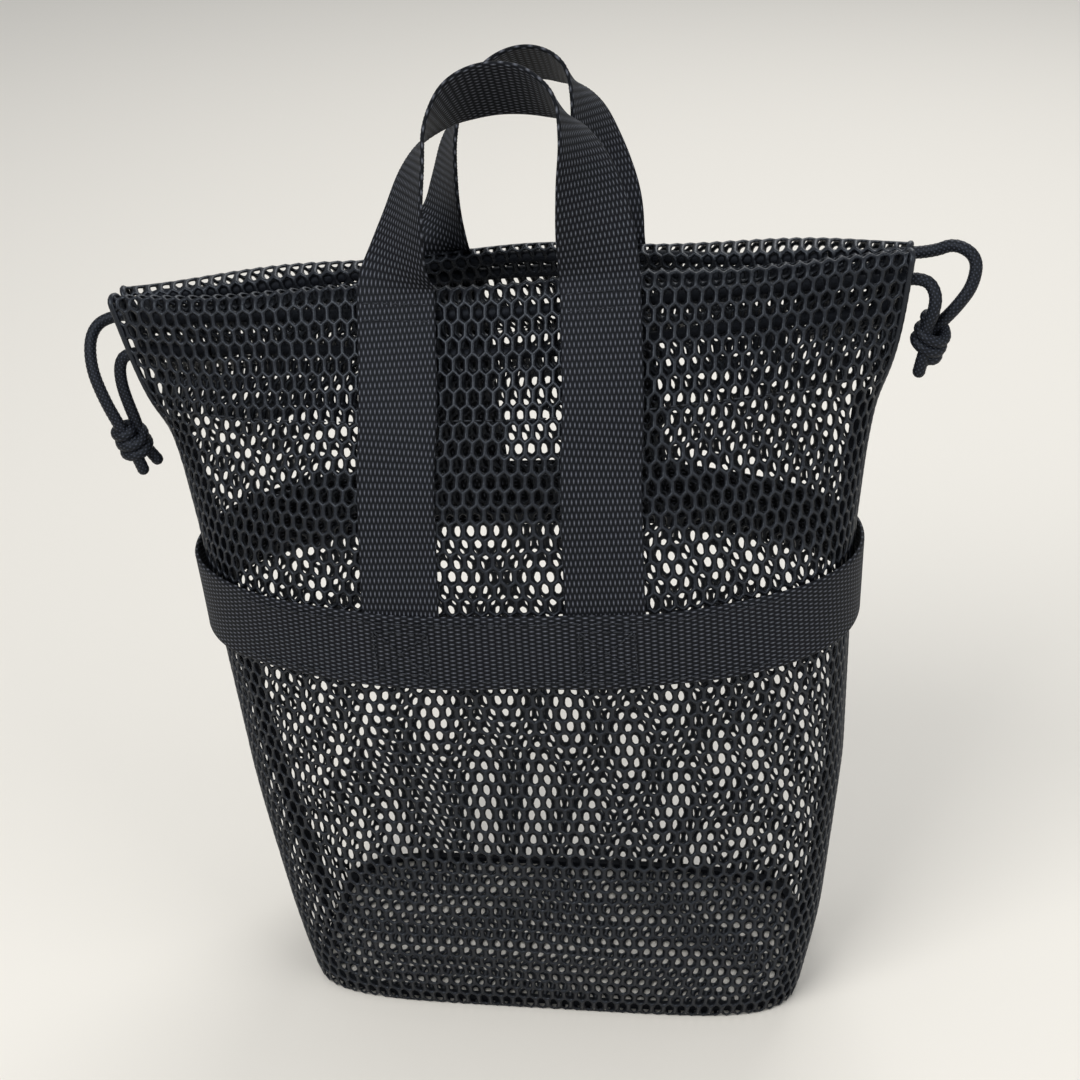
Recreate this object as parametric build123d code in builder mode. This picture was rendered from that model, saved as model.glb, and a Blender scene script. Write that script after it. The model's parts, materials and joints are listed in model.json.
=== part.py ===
"""Mesh drawstring tote bag: a net body, a webbing girth band, two webbing handles and two knotted drawcords.

Millimetres. +X is the bag's right as seen from its front, +Y runs to the back, +Z is up.
The origin is the middle of the flat base, on the surface that the bag stands on.
"""

import os
from math import cos, pi, radians, sin, tan

from build123d import *

# ---------------------------------------------------------------- driving dimensions

# Cloth body. Half widths run along X, depths along Y, from the plane of the side seams.
MESH_T = 1.4  # thickness of the net
BASE_HALF_W = 85.5
BASE_DEPTH = 45.0
BELLY_HALF_W = 107.0
BELLY_DEPTH = 58.0
RIM_HALF_W = 127.0
RIM_DEPTH_FRONT = 14.0
RIM_DEPTH_BACK = 25.0
RIM_Z = 253.0  # height of the middle of the rim
RIM_SHIFT = -14.0  # the bag leans this far to its left at the rim
RIM_TILT = 4.5  # and its right end stands higher, in degrees
SEAM_GAP = 1.0  # half the gap between the panels at a side seam
SEAM_DEPTH = 5.0  # how far the bound seam allowance reaches inwards

# Folded hem with the two drawcord channels.
HEM_H = 38.0
CORD_D = 4.0
CORD_ROOM = 1.8  # a channel is this much wider than its cord
FACING_CLEAR = 1.9  # the inner layers stay this far from the plane of the side seams
HEM_LOW_HALF_W = 116.5  # at the lower edge of the hem
HEM_LOW_DEPTH = {"front": 38.0, "back": 43.0}
FACING_SETBACK = 12.0  # the inner layer stops this far from the end of the outer one
FOLD_OVERHANG = 0.15  # the fold along the rim stands this far past the inner layer
LANE_ZONE_H = 25.0  # height of the part of the hem where the cords run

# Webbing.
WEB_W = 25.0
WEB_T = 1.5
BAND_Z = 148.0  # height of the middle of the girth band
# Middles of the straps, along the rim from its middle.
STRAPS = {"front": {"left": -32.0, "right": 32.0}, "back": {"left": -26.0, "right": 30.0}}
TUCK = 20.0  # length of strap under the band
LAY_GAP = 0.15  # air between two layers of webbing
HINGE_GAP = 0.6  # free length of strap between the sewn leg and the handle
HINGE_OUT = 0.4  # the fold line lies this far outside the strap

# Handles.
HANDLE_RISE = 57.0

# Drawcords.
CORD_TRAVEL = 20.0  # how far a loop can be pulled out of its channel
STUB = CORD_TRAVEL + 4.0  # straight stretch of cord inside the channel, behind each exit
LANES = {"left": {"front": -20.0, "back": -10.0}, "right": {"front": -9.0, "back": -4.0}}
END_GAP = 1.0  # between a stub and the rest of its cord in the channel
TURN_SETBACK = 9.0  # the cords turn round this far inside the open ends of the hem
KNOT_L = 13.0
KNOT_D = 10.5

# Thread.
THREAD_T = 0.35
THREAD_W = 0.8
THREAD_LIFT = 0.1

SIDES = {"front": -1, "back": 1}
ENDS = {"left": -1, "right": 1}

# ---------------------------------------------------------------- derived values

BAND_LOW = BAND_Z - WEB_W / 2
BAND_HIGH = BAND_Z + WEB_W / 2
BAND_OFF = WEB_T + 2 * LAY_GAP  # the band lies over the ends of the straps
CHANNEL_GAP = CORD_D + CORD_ROOM
HEM_END_DEPTH = MESH_T + CHANNEL_GAP + FACING_CLEAR  # half the thickness of the hem at its open ends
LANE_Y = HEM_END_DEPTH - MESH_T - CHANNEL_GAP / 2
FACING_OFF = MESH_T + CHANNEL_GAP
RIM_X = Vector(cos(radians(RIM_TILT)), 0, sin(radians(RIM_TILT)))
RIM_UP = Vector(-sin(radians(RIM_TILT)), 0, cos(radians(RIM_TILT)))
RIM_MIDDLE = Vector(RIM_SHIFT, 0, RIM_Z)

os.makedirs("parts", exist_ok=True)


def save(piece, name):
    """Label a finished piece and write it to its own file."""
    piece.part.label = name
    export_step(piece.part, f"parts/{name}.step")


# ---------------------------------------------------------------- the shape of the body


class Level:
    """One horizontal section of the bag: its plane and the outline of its two panels."""

    def __init__(self, origin, tilt, half_w, depth, power, end_depth=SEAM_GAP):
        along = Vector(cos(radians(tilt)), 0, sin(radians(tilt)))
        up = Vector(-sin(radians(tilt)), 0, cos(radians(tilt)))
        self.plane = Plane(origin=origin, x_dir=along, z_dir=up)
        self.half_w = half_w
        self.depth = depth
        self.power = power  # (across, out): 2, 1 is a lens, 2, 2 an ellipse, more is boxier
        self.end_depth = end_depth

    def outline(self, side, grow=0.0, count=13):
        """Points of one panel's outline from its left end to its right, grown outwards."""
        across, out = self.power
        reach = self.depth[side] + grow - self.end_depth
        points = []
        for step in range(count):
            turn = pi - pi * step / (count - 1)
            c = cos(turn)
            x = (self.half_w + grow) * (1 if c > 0 else -1) * abs(c) ** (2 / across)
            y = self.end_depth + reach * sin(turn) ** (2 / out) if 0 < step < count - 1 else self.end_depth
            points.append((x, SIDES[side] * y))
        return points

    def y_at(self, side, x):
        """Depth of the outer face of one panel at a distance x from the middle."""
        across, out = self.power
        rest = max(0.0, 1 - min(1.0, abs(x) / self.half_w) ** across)
        return self.end_depth + (self.depth[side] - self.end_depth) * rest ** (1 / out)

    def offset_points(self, side, x0, x1, off, count=5):
        """Points beside the outer face between x0 and x1, a distance off outside it."""
        points = []
        for step in range(count):
            x = x0 + (x1 - x0) * step / (count - 1)
            slope = self.y_at(side, x + 0.5) - self.y_at(side, x - 0.5)
            length = (1 + slope * slope) ** 0.5
            points.append((x - off * slope / length, SIDES[side] * (self.y_at(side, x) + off / length)))
        return points


def mix(low, high, share):
    return low + (high - low) * share


def level_at(z):
    """The section of the body at height z, below the hem."""
    hem_z = RIM_Z - HEM_H
    knots = [
        # height, half width, front depth, back depth, power across, power out, shift, tilt
        (0.0, BASE_HALF_W, BASE_DEPTH, BASE_DEPTH, 5.0, 5.0, 0.0, 0.0),
        (30.0, mix(BASE_HALF_W, BELLY_HALF_W, 0.36), mix(BASE_DEPTH, BELLY_DEPTH, 0.6), None, 3.6, 3.6, -1.0, 0.0),
        (80.0, mix(BASE_HALF_W, BELLY_HALF_W, 0.74), mix(BASE_DEPTH, BELLY_DEPTH, 0.92), None, 2.8, 2.8, -4.0, 0.7),
        (BAND_LOW, BELLY_HALF_W - 1.0, BELLY_DEPTH, None, 2.4, 2.4, -8.0, 1.8),
        (BAND_HIGH, BELLY_HALF_W + 1.0, BELLY_DEPTH - 1.0, None, 2.3, 2.2, -9.5, 2.3),
        (190.0, mix(BELLY_HALF_W, HEM_LOW_HALF_W, 0.526), 49.0, 50.0, 2.1, 1.8, -11.5, 3.2),
        (hem_z - 8.0, mix(BELLY_HALF_W, HEM_LOW_HALF_W, 0.842), 42.0, 45.0, 2.0, 1.5, -12.5, 4.0),
    ]
    for low, high in zip(knots, knots[1:]):
        if low[0] <= z <= high[0]:
            break
    share = (z - low[0]) / (high[0] - low[0])
    filled = [(k[0], k[1], k[2], k[2] if k[3] is None else k[3], *k[4:]) for k in (low, high)]
    half_w, front, back, across, out, shift, tilt = (mix(a, b, share) for a, b in zip(*(f[1:] for f in filled)))
    return Level((shift, 0, z), tilt, half_w, {"front": front, "back": back}, (across, out))


def hem_level(drop):
    """The section of the hem, drop below the rim and parallel to it."""
    share = drop / HEM_H
    origin = RIM_MIDDLE - RIM_UP * drop
    depth = {
        "front": mix(RIM_DEPTH_FRONT, HEM_LOW_DEPTH["front"], share),
        "back": mix(RIM_DEPTH_BACK, HEM_LOW_DEPTH["back"], share),
    }
    return Level(origin, RIM_TILT, mix(RIM_HALF_W, HEM_LOW_HALF_W, share), depth, (2, mix(1.0, 1.35, share)), HEM_END_DEPTH)


BODY_HEIGHTS = [MESH_T, 12.0, 30.0, 55.0, 80.0, 107.0, BAND_LOW, BAND_HIGH, 190.0, RIM_Z - HEM_H - 8.0]
BODY_LEVELS = [level_at(z) for z in BODY_HEIGHTS]
HEM_DROPS = [HEM_H, HEM_H * 0.83, LANE_ZONE_H, HEM_H / 3, MESH_T]
HEM_LEVELS = [hem_level(drop) for drop in HEM_DROPS]
BAND_LEVELS = [level_at(BAND_LOW), level_at(BAND_HIGH)]


def fill_between(plane, first, second):
    """A face on a plane between two smooth rows of points that start at the same end."""
    with BuildSketch(plane) as sketch:
        with BuildLine():
            Spline(*first)
            Line(first[-1], second[-1])
            Spline(*second)
            Line(second[0], first[0])
        make_face()
    return sketch.sketch


# ---------------------------------------------------------------- cloth body


def body_panel(side):
    """One net panel, from the base to the hem."""
    levels = BODY_LEVELS + HEM_LEVELS[:1]
    with BuildPart() as panel:
        loft(
            sections=[fill_between(lv.plane, lv.outline(side), lv.outline(side, -MESH_T)) for lv in levels],
            ruled=True,
        )
    return panel


def base_plate():
    """The flat bottom of the bag."""
    level = level_at(0.0)
    with BuildPart() as plate:
        extrude(fill_between(Plane.XY, level.outline("front"), level.outline("back")), MESH_T, dir=(0, 0, 1))
    return plate


def base_seam():
    """The bound seam allowance inside the bag, where the panels meet the base."""
    level = level_at(0.0)
    gap = MESH_T + 0.3
    allowance = 3.0
    seam_t = 1.6
    with BuildPart() as seam:
        outer, inner = (
            fill_between(Plane.XY.offset(MESH_T), level.outline("front", -inset), level.outline("back", -inset))
            for inset in (gap, gap + allowance)
        )
        extrude(outer, seam_t, dir=(0, 0, 1))
        extrude(inner, seam_t, dir=(0, 0, 1), mode=Mode.SUBTRACT)
    return seam


def side_seam(end):
    """The bound allowance of one side seam, between the panels."""
    sign = ENDS[end]
    half_t = SEAM_GAP - 0.1
    with BuildPart() as seam:
        for level in BODY_LEVELS[1:]:
            with BuildSketch(level.plane):
                with Locations((sign * (level.half_w - 0.5 - SEAM_DEPTH / 2), 0)):
                    Rectangle(SEAM_DEPTH, 2 * half_t)
        loft(ruled=True)
    return seam


# ---------------------------------------------------------------- hem and channels


def channel_bulge(x):
    """How far the inner layer has left its flat ends at a distance x from the middle, 0 to 1."""
    flat_from = hem_level(LANE_ZONE_H).half_w - STUB
    return max(0.0, 1 - (x / flat_from) ** 2) ** 2


def facing_outline(level, side, drop, inward):
    """The inner layer of the hem: flat ends beside the cord exits, then parallel to the panel."""
    reach = level.half_w - FACING_SETBACK
    end_y = level.end_depth - FACING_OFF
    points = []
    count = 21
    for step in range(count):
        x = reach * (2 * step / (count - 1) - 1)
        if drop > LANE_ZONE_H:
            y = level.y_at(side, x) - MESH_T - 0.6
        else:
            y = end_y + (level.depth[side] - FACING_OFF - end_y) * channel_bulge(x)
        points.append((x, SIDES[side] * (y - inward)))
    return points


def hem_outer(side):
    """The outer layer of the hem, open at both ends where the cords come out."""
    sections = []
    for level in HEM_LEVELS:
        outer = level.outline(side)
        inner = [(x, y - SIDES[side] * MESH_T) for x, y in outer]
        sections.append(fill_between(level.plane, outer, inner))
    with BuildPart() as layer:
        loft(sections=sections, ruled=True)
    return layer


def hem_facing(side):
    """The turned-down inner layer of the hem, with the fold that closes the channel on top."""
    sections = []
    for drop in (HEM_H, LANE_ZONE_H, MESH_T):
        level = hem_level(drop)
        outer, inner = (facing_outline(level, side, drop, inward) for inward in (0.0, MESH_T))
        sections.append(fill_between(level.plane, outer, inner))
    top = hem_level(0.0)
    inner = facing_outline(top, side, 0.0, MESH_T + FOLD_OVERHANG)
    outer = [(x, SIDES[side] * top.y_at(side, x)) for x, _ in inner]
    with BuildPart() as facing:
        loft(sections=sections, ruled=True)
        extrude(fill_between(top.plane, outer, inner), MESH_T, dir=-RIM_UP)
    return facing


# ---------------------------------------------------------------- webbing on the body


def girth_band(side):
    """Half of the girth band, over one panel and over the tucked ends of its straps."""
    sections = [
        fill_between(lv.plane, lv.outline(side, BAND_OFF + WEB_T), lv.outline(side, BAND_OFF)) for lv in BAND_LEVELS
    ]
    with BuildPart() as band:
        loft(sections=sections, ruled=True)
    return band


STRAP_LEVELS = (
    [level_at(BAND_HIGH - TUCK), level_at(BAND_HIGH), level_at(190.0), level_at(RIM_Z - HEM_H - 8.0)]
    + [hem_level(drop) for drop in (HEM_H, LANE_ZONE_H, HEM_H / 3, 0.0)]
)


def on_body(levels, side, x0, x1, low_off, high_off, count=5):
    """A strip that follows the outside of a panel through a row of levels."""
    sections = []
    for level in levels:
        low, high = (level.offset_points(side, x0, x1, off, count) for off in (low_off, high_off))
        sections.append(fill_between(level.plane, low, high))
    with BuildPart() as strip:
        loft(sections=sections, ruled=True)
    return strip


def sewn_strap(side, end):
    """The sewn leg of a handle, from under the band to the rim."""
    middle = STRAPS[side][end]
    return on_body(STRAP_LEVELS, side, middle - WEB_W / 2, middle + WEB_W / 2, LAY_GAP, LAY_GAP + WEB_T)


# ---------------------------------------------------------------- handles

# Each row of a handle, from its left foot over the arch to its right foot: how far in from its own foot,
# share of the rise, lean to the back, then the direction across the webbing.
HANDLE_ROWS = {
    "front": {
        "left": [
            (0.0, 0.0, 0.0, (1.0, 0.0, 0.0)),
            (1.0, 0.12, 0.3, (0.86, -0.50, 0.02)),
            (4.4, 0.35, 1.8, (0.64, -0.76, 0.08)),
            (8.6, 0.60, 4.6, (0.45, -0.84, 0.18)),
            (13.8, 0.80, 8.6, (0.26, -0.76, 0.52)),
            (22.4, 0.94, 13.0, (0.08, -0.66, 0.74)),
            (33.0, 0.99, 15.5, (0.0, -0.60, 0.80)),
        ],
        "right": [
            (19.0, 0.975, 14.6, (-0.03, -0.62, 0.78)),
            (8.8, 0.89, 10.5, (-0.12, -0.76, 0.62)),
            (3.6, 0.72, 6.4, (-0.36, -0.86, 0.30)),
            (1.2, 0.48, 2.6, (-0.72, -0.68, 0.10)),
            (0.2, 0.22, 0.5, (-0.94, -0.34, 0.03)),
            (0.0, 0.0, 0.0, (-1.0, 0.0, 0.0)),
        ],
    },
    "back": {
        "left": [
            (0.0, 0.0, 0.0, (1.0, 0.0, 0.0)),
            (3.2, 0.14, 0.8, (0.68, -0.73, 0.03)),
            (5.4, 0.36, 2.2, (0.46, -0.88, 0.06)),
            (8.5, 0.60, 4.6, (0.32, -0.91, 0.22)),
            (16.0, 0.82, 7.6, (0.15, -0.86, 0.46)),
            (26.5, 0.94, 9.8, (0.05, -0.80, 0.60)),
            (37.5, 0.965, 10.6, (0.0, -0.78, 0.62)),
        ],
        "right": [
            (9.0, 0.90, 9.4, (-0.06, -0.80, 0.58)),
            (3.2, 0.74, 6.4, (-0.30, -0.86, 0.36)),
            (0.6, 0.52, 3.4, (-0.56, -0.80, 0.16)),
            (-0.4, 0.30, 1.1, (-0.84, -0.54, 0.05)),
            (-0.4, 0.13, 0.3, (-0.97, -0.22, 0.02)),
            (0.0, 0.0, 0.0, (-1.0, 0.0, 0.0)),
        ],
    },
}


def handle_stations(side):
    """Middle, width direction and outward normal of a handle's webbing, from foot to foot."""
    sign = SIDES[side]
    rim = hem_level(0.0)
    stations = []
    for end, rows in HANDLE_ROWS[side].items():
        foot_x = STRAPS[side][end]
        foot_y = rim.y_at(side, foot_x) + LAY_GAP + WEB_T / 2
        for inset, rise, lean, (wx, wy, wz) in rows:
            middle = RIM_MIDDLE + RIM_X * (foot_x - ENDS[end] * inset) + RIM_UP * (HINGE_GAP + HANDLE_RISE * rise)
            middle += Vector(0, sign * foot_y + lean, 0)
            width = (RIM_X * wx + RIM_UP * wz + Vector(0, wy, 0)).normalized()
            stations.append((middle, width))
    return stations


def handle(side):
    """One free webbing handle: it turns edge-on above each leg and arches over."""
    stations = handle_stations(side)
    last = len(stations) - 1
    with BuildPart() as loop:
        for index, (middle, width) in enumerate(stations):
            ahead = stations[min(index + 1, last)][0]
            behind = stations[max(index - 1, 0)][0]
            along = (ahead - behind).normalized()
            if index == 0:
                along = RIM_UP
            if index == last:
                along = RIM_UP * -1
            across = (width - along * width.dot(along)).normalized()
            with BuildSketch(Plane(origin=middle, x_dir=across, z_dir=along)):
                Rectangle(WEB_W, WEB_T)
        loft(ruled=True)
    return loop


# ---------------------------------------------------------------- stitching


def band_rows(side):
    """The two long rows of stitches that hold the band to the panel."""
    low_off = BAND_OFF + WEB_T + THREAD_LIFT
    edge = 2.5
    rows = []
    for z in (BAND_LOW + edge, BAND_HIGH - edge - THREAD_W):
        levels = [level_at(z), level_at(z + THREAD_W)]
        reach = BELLY_HALF_W - 22.0
        rows.append(on_body(levels, side, -reach, reach, low_off, low_off + THREAD_T, 13))
    return rows


def joined(strips):
    """Several separate solids as one piece."""
    with BuildPart() as group:
        for strip in strips:
            add(strip.part)
    return group


def box_stitches(side):
    """The stitched box that holds each strap end under the band."""
    low_off = BAND_OFF + WEB_T + THREAD_LIFT
    inset = 4.0
    strips = []
    for middle in STRAPS[side].values():
        x0 = middle - WEB_W / 2 + inset
        x1 = x0 + WEB_W - 2 * inset
        for z in (BAND_LOW + 5.0, BAND_HIGH - 5.0 - THREAD_W):
            levels = [level_at(z), level_at(z + THREAD_W)]
            strips.append(on_body(levels, side, x0, x1, low_off, low_off + THREAD_T))
        for x in (x0, x1 - THREAD_W):
            levels = [level_at(BAND_LOW + 6.0), level_at(BAND_HIGH - 6.0)]
            strips.append(on_body(levels, side, x, x + THREAD_W, low_off, low_off + THREAD_T))
    return joined(strips)


def rim_stitches(side):
    """Two rows across each strap that hold it to the hem just under the rim."""
    low_off = LAY_GAP + WEB_T + THREAD_LIFT
    strips = []
    for middle in STRAPS[side].values():
        x0 = middle - WEB_W / 2 + 1.5
        for drop in (4.5, 9.0):
            levels = [hem_level(drop), hem_level(drop - THREAD_W)]
            strips.append(on_body(levels, side, x0, x0 + WEB_W - 3.0, low_off, low_off + THREAD_T))
    return joined(strips)


def hem_stitches(side):
    """The row that closes the channels, between and beside the straps."""
    drop = HEM_H - 2.0
    levels = [hem_level(drop), hem_level(drop - THREAD_W)]
    clear = WEB_W / 2 + 0.5
    left, right = STRAPS[side]["left"], STRAPS[side]["right"]
    reach = RIM_HALF_W - 22.0
    spans = [(-reach, left - clear), (left + clear, right - clear), (right + clear, reach)]
    return joined(
        [on_body(levels, side, x0, x1, THREAD_LIFT, THREAD_LIFT + THREAD_T, 13) for x0, x1 in spans]
    )


# ---------------------------------------------------------------- drawcords


def hem_point(x, y, drop):
    """A point in the hem's own frame: along the rim, to the back, and up from the rim."""
    return RIM_MIDDLE + RIM_X * x + Vector(0, y, 0) + RIM_UP * drop


def corner_radii(points, share=0.45):
    """The largest tangent arc at each corner that both of its runs have room for."""
    radii = []
    for before, corner, after in zip(points, points[1:], points[2:]):
        turn = radians((corner - before).get_angle(after - corner))
        run = min((corner - before).length, (after - corner).length)
        radii.append(share * run / tan(turn / 2))
    return radii


def cord_tube(name, points):
    """A cord along straight runs joined by tangent arcs."""
    radii = corner_radii(points)
    with BuildPart() as tube:
        with BuildLine() as route:
            FilletPolyline(*points, radius=radii)
        with BuildSketch(Plane(origin=points[0], z_dir=points[1] - points[0])):
            Circle(CORD_D / 2)
        sweep()
    length = route.wires()[0].length
    expected = pi * CORD_D**2 / 4 * length
    print(name, "length", round(length, 1), "radii", [round(r, 1) for r in radii],
          "volume ratio", round(tube.part.volume / expected, 3))
    return tube


def exit_x(end, side):
    """How far from the middle a cord comes out: at the open end of the hem, at its own height."""
    return hem_level(-LANES[end][side]).half_w


def channel_run(end):
    """The stretch of a drawcord that stays in the hem: front channel, round the far end, back channel."""
    sign = ENDS[end]
    lanes = LANES[end]
    count = 15

    def lane_y(side, x):
        level = hem_level(-lanes[side])
        return SIDES[side] * (LANE_Y + (level.depth[side] - level.end_depth) * channel_bulge(x))

    def lane_points(side):
        start = exit_x(end, side) - STUB - END_GAP
        xs = [start - 2 * start * step / (count - 1) for step in range(count)]
        return [hem_point(sign * x, lane_y(side, x), lanes[side]) for x in xs]

    turn_x = -sign * (RIM_HALF_W - TURN_SETBACK)
    front = lane_points("front") + [hem_point(turn_x, -LANE_Y, lanes["front"])]
    back = [hem_point(turn_x, LANE_Y, lanes["back"])] + lane_points("back")[::-1]
    return cord_tube(f"{end} channel run", front + back)


def cord_stubs(end):
    """The straight stretches of a drawcord just inside its two exits."""
    sign = ENDS[end]
    strips = []
    for side, sense in SIDES.items():
        inner = hem_point(sign * (exit_x(end, side) - STUB), sense * LANE_Y, LANES[end][side])
        with BuildPart() as stub:
            with BuildSketch(Plane(origin=inner, z_dir=RIM_X * sign)):
                Circle(CORD_D / 2)
            extrude(amount=STUB)
        strips.append(stub)
    return joined(strips)


def rim_spot(x, y, z):
    """A point beside the bag, measured from the middle of the rim without its tilt."""
    return RIM_MIDDLE + Vector(x, y, z)


# The routes of the four free strands, from the exit to the middle of the knot and on to the tail's end.
LEFT_EXIT = {s: hem_point(-exit_x("left", s), SIDES[s] * LANE_Y, LANES["left"][s]) for s in SIDES}
RIGHT_EXIT = {s: hem_point(exit_x("right", s), SIDES[s] * LANE_Y, LANES["right"][s]) for s in SIDES}

LEFT_KNOT = rim_spot(-123.5, -8.0, -59.0)
RIGHT_KNOT = rim_spot(133.0, -6.5, -17.5)
LEFT_KNOT_AXIS = Vector(0.35, 0.0, -0.94)
RIGHT_KNOT_AXIS = Vector(-0.30, 0.0, -0.95)

STRANDS = {
    "left_back": [
        LEFT_EXIT["back"],
        rim_spot(-131.8, 4.5, -20.4),
        rim_spot(-137.0, 0.5, -25.0),
        rim_spot(-136.2, -5.0, -34.5),
        rim_spot(-131.6, -8.8, -44.5),
        rim_spot(-126.5, -9.8, -54.5),
    ],
    "left_front": [
        LEFT_EXIT["front"],
        rim_spot(-124.0, -4.5, -29.85),
        rim_spot(-126.4, -5.1, -33.6),
        rim_spot(-126.2, -5.8, -40.0),
        rim_spot(-124.4, -6.2, -47.0),
        rim_spot(-122.4, -6.2, -53.5),
    ],
    "right_back": [
        RIGHT_EXIT["back"],
        rim_spot(132.9, 4.5, 6.45),
        rim_spot(139.5, 3.0, 10.0),
        rim_spot(146.4, 0.2, 6.5),
        rim_spot(145.4, -2.4, -1.5),
        rim_spot(140.8, -4.0, -8.0),
        rim_spot(136.0, -4.0, -13.5),
    ],
    "right_front": [
        RIGHT_EXIT["front"],
        rim_spot(130.8, -4.5, 1.3),
        rim_spot(134.2, -7.2, -2.8),
        rim_spot(133.6, -8.8, -8.4),
        rim_spot(131.4, -8.6, -14.0),
    ],
}

TAILS = {
    "left": [
        [rim_spot(-124.0, -10.6, -59.5), rim_spot(-121.2, -11.0, -65.0), rim_spot(-119.6, -11.2, -69.8)],
        [rim_spot(-121.5, -6.2, -60.5), rim_spot(-118.0, -6.2, -64.5), rim_spot(-115.4, -6.6, -67.8)],
    ],
    "right": [
        [rim_spot(132.2, -9.0, -18.5), rim_spot(130.6, -9.6, -24.0), rim_spot(129.6, -9.8, -29.4)],
        [rim_spot(131.5, -4.6, -18.5), rim_spot(131.4, -4.4, -24.0), rim_spot(131.9, -4.2, -28.0)],
    ],
}


def knot(end):
    """The overhand knot that both strands are tied in, as a plain rounded body."""
    middle, axis = (LEFT_KNOT, LEFT_KNOT_AXIS) if end == "left" else (RIGHT_KNOT, RIGHT_KNOT_AXIS)
    frame = Plane(origin=middle, x_dir=Vector(0, 1, 0), z_dir=Vector(axis.Z, 0, -axis.X))
    with BuildPart() as lump:
        with BuildSketch(frame):
            Ellipse(KNOT_L / 2, KNOT_D / 2)
            with Locations((0, -KNOT_D / 2)):
                Rectangle(KNOT_L, KNOT_D, mode=Mode.SUBTRACT)
        revolve(axis=Axis(middle, frame.x_dir))
    return lump


# ---------------------------------------------------------------- moving parts


def fold_line(side):
    """A point on the line about which a handle folds, just outside the top of its straps."""
    out = max(hem_level(0.0).y_at(side, x) for x in STRAPS[side].values()) + LAY_GAP + WEB_T + HINGE_OUT
    return RIM_MIDDLE + Vector(0, SIDES[side] * out, 0)


for side_name in SIDES:
    print(side_name, "handle folds about", fold_line(side_name), "along", RIM_X * -SIDES[side_name])
print("the loops pull out along", RIM_X, "by", CORD_TRAVEL)

# ---------------------------------------------------------------- write every piece

save(base_plate(), "base_panel")
save(base_seam(), "base_seam")
for end_name in ENDS:
    save(side_seam(end_name), f"{end_name}_side_seam")
for side_name in SIDES:
    save(body_panel(side_name), f"{side_name}_panel")
    save(hem_outer(side_name), f"{side_name}_hem_outer")
    save(hem_facing(side_name), f"{side_name}_hem_facing")
    save(girth_band(side_name), f"{side_name}_girth_band")
    save(handle(side_name), f"{side_name}_handle")
    save(joined(band_rows(side_name)), f"{side_name}_band_stitching")
    save(box_stitches(side_name), f"{side_name}_strap_box_stitching")
    save(rim_stitches(side_name), f"{side_name}_strap_rim_stitching")
    save(hem_stitches(side_name), f"{side_name}_hem_stitching")
    for end_name in ENDS:
        save(sewn_strap(side_name, end_name), f"{side_name}_{end_name}_strap")
for end_name in ENDS:
    save(channel_run(end_name), f"{end_name}_drawcord_channel_run")
    save(cord_stubs(end_name), f"{end_name}_drawcord_stubs")
    save(knot(end_name), f"{end_name}_drawcord_knot")
    for side_name in SIDES:
        strand = cord_tube(f"{end_name} {side_name} strand", STRANDS[f"{end_name}_{side_name}"])
        save(strand, f"{end_name}_drawcord_{side_name}_strand")
    tails = [cord_tube(f"{end_name} tail", points) for points in TAILS[end_name]]
    save(joined(tails), f"{end_name}_drawcord_tails")
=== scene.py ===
"""Mesh drawstring tote bag: open-net cloth, webbing, stitching and knotted drawcords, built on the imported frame."""

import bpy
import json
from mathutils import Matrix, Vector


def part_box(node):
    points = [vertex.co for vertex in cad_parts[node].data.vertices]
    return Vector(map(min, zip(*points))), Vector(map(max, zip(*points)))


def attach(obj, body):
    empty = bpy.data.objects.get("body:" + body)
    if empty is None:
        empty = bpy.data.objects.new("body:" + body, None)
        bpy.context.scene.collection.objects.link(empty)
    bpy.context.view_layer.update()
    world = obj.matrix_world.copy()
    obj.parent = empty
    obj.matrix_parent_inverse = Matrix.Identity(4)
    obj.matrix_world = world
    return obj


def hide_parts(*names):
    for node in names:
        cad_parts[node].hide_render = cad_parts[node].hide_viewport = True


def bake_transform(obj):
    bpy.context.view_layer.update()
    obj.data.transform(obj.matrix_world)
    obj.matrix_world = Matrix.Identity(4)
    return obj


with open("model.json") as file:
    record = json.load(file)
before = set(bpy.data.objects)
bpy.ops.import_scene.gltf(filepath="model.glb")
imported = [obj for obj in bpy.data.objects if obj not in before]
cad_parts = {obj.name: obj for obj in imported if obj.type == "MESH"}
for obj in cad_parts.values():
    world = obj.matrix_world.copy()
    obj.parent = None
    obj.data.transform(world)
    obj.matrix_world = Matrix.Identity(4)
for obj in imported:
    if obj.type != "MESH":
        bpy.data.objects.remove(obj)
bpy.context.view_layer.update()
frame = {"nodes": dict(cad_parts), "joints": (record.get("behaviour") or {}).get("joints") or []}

import json
import math

import bmesh
import bpy
import numpy as np
from mathutils import Matrix, Vector

bl_info = {
    "name": "Mesh Drawstring Tote",
    "version": (1, 0, 0),
    "blender": (4, 5, 0),
    "location": "View3D > Sidebar > Mesh Tote",
    "description": "Builds an open-net tote bag with webbing handles and knotted drawcords",
    "category": "Add Mesh",
}

# ---------------------------------------------------------------- the frame

SIDES = {"front": -1, "back": 1}  # the sign of y on each side
MM = 0.001
JOINTS = {joint["name"]: joint for joint in frame["joints"]}
FOLD = {side: JOINTS[f"{side}_handle_fold"] for side in SIDES}
RIM_X = Vector(FOLD["front"]["axis"])
RIM_UP = Vector((-RIM_X.z, 0, RIM_X.x))
RIM_TILT = math.atan2(RIM_X.z, RIM_X.x)
RIM_MIDDLE = Vector((FOLD["front"]["pos_m"][0], 0, FOLD["front"]["pos_m"][2]))
RIM_Z = RIM_MIDDLE.z

# ---------------------------------------------------------------- sizes that the frame doesn't carry, in metres

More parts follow.
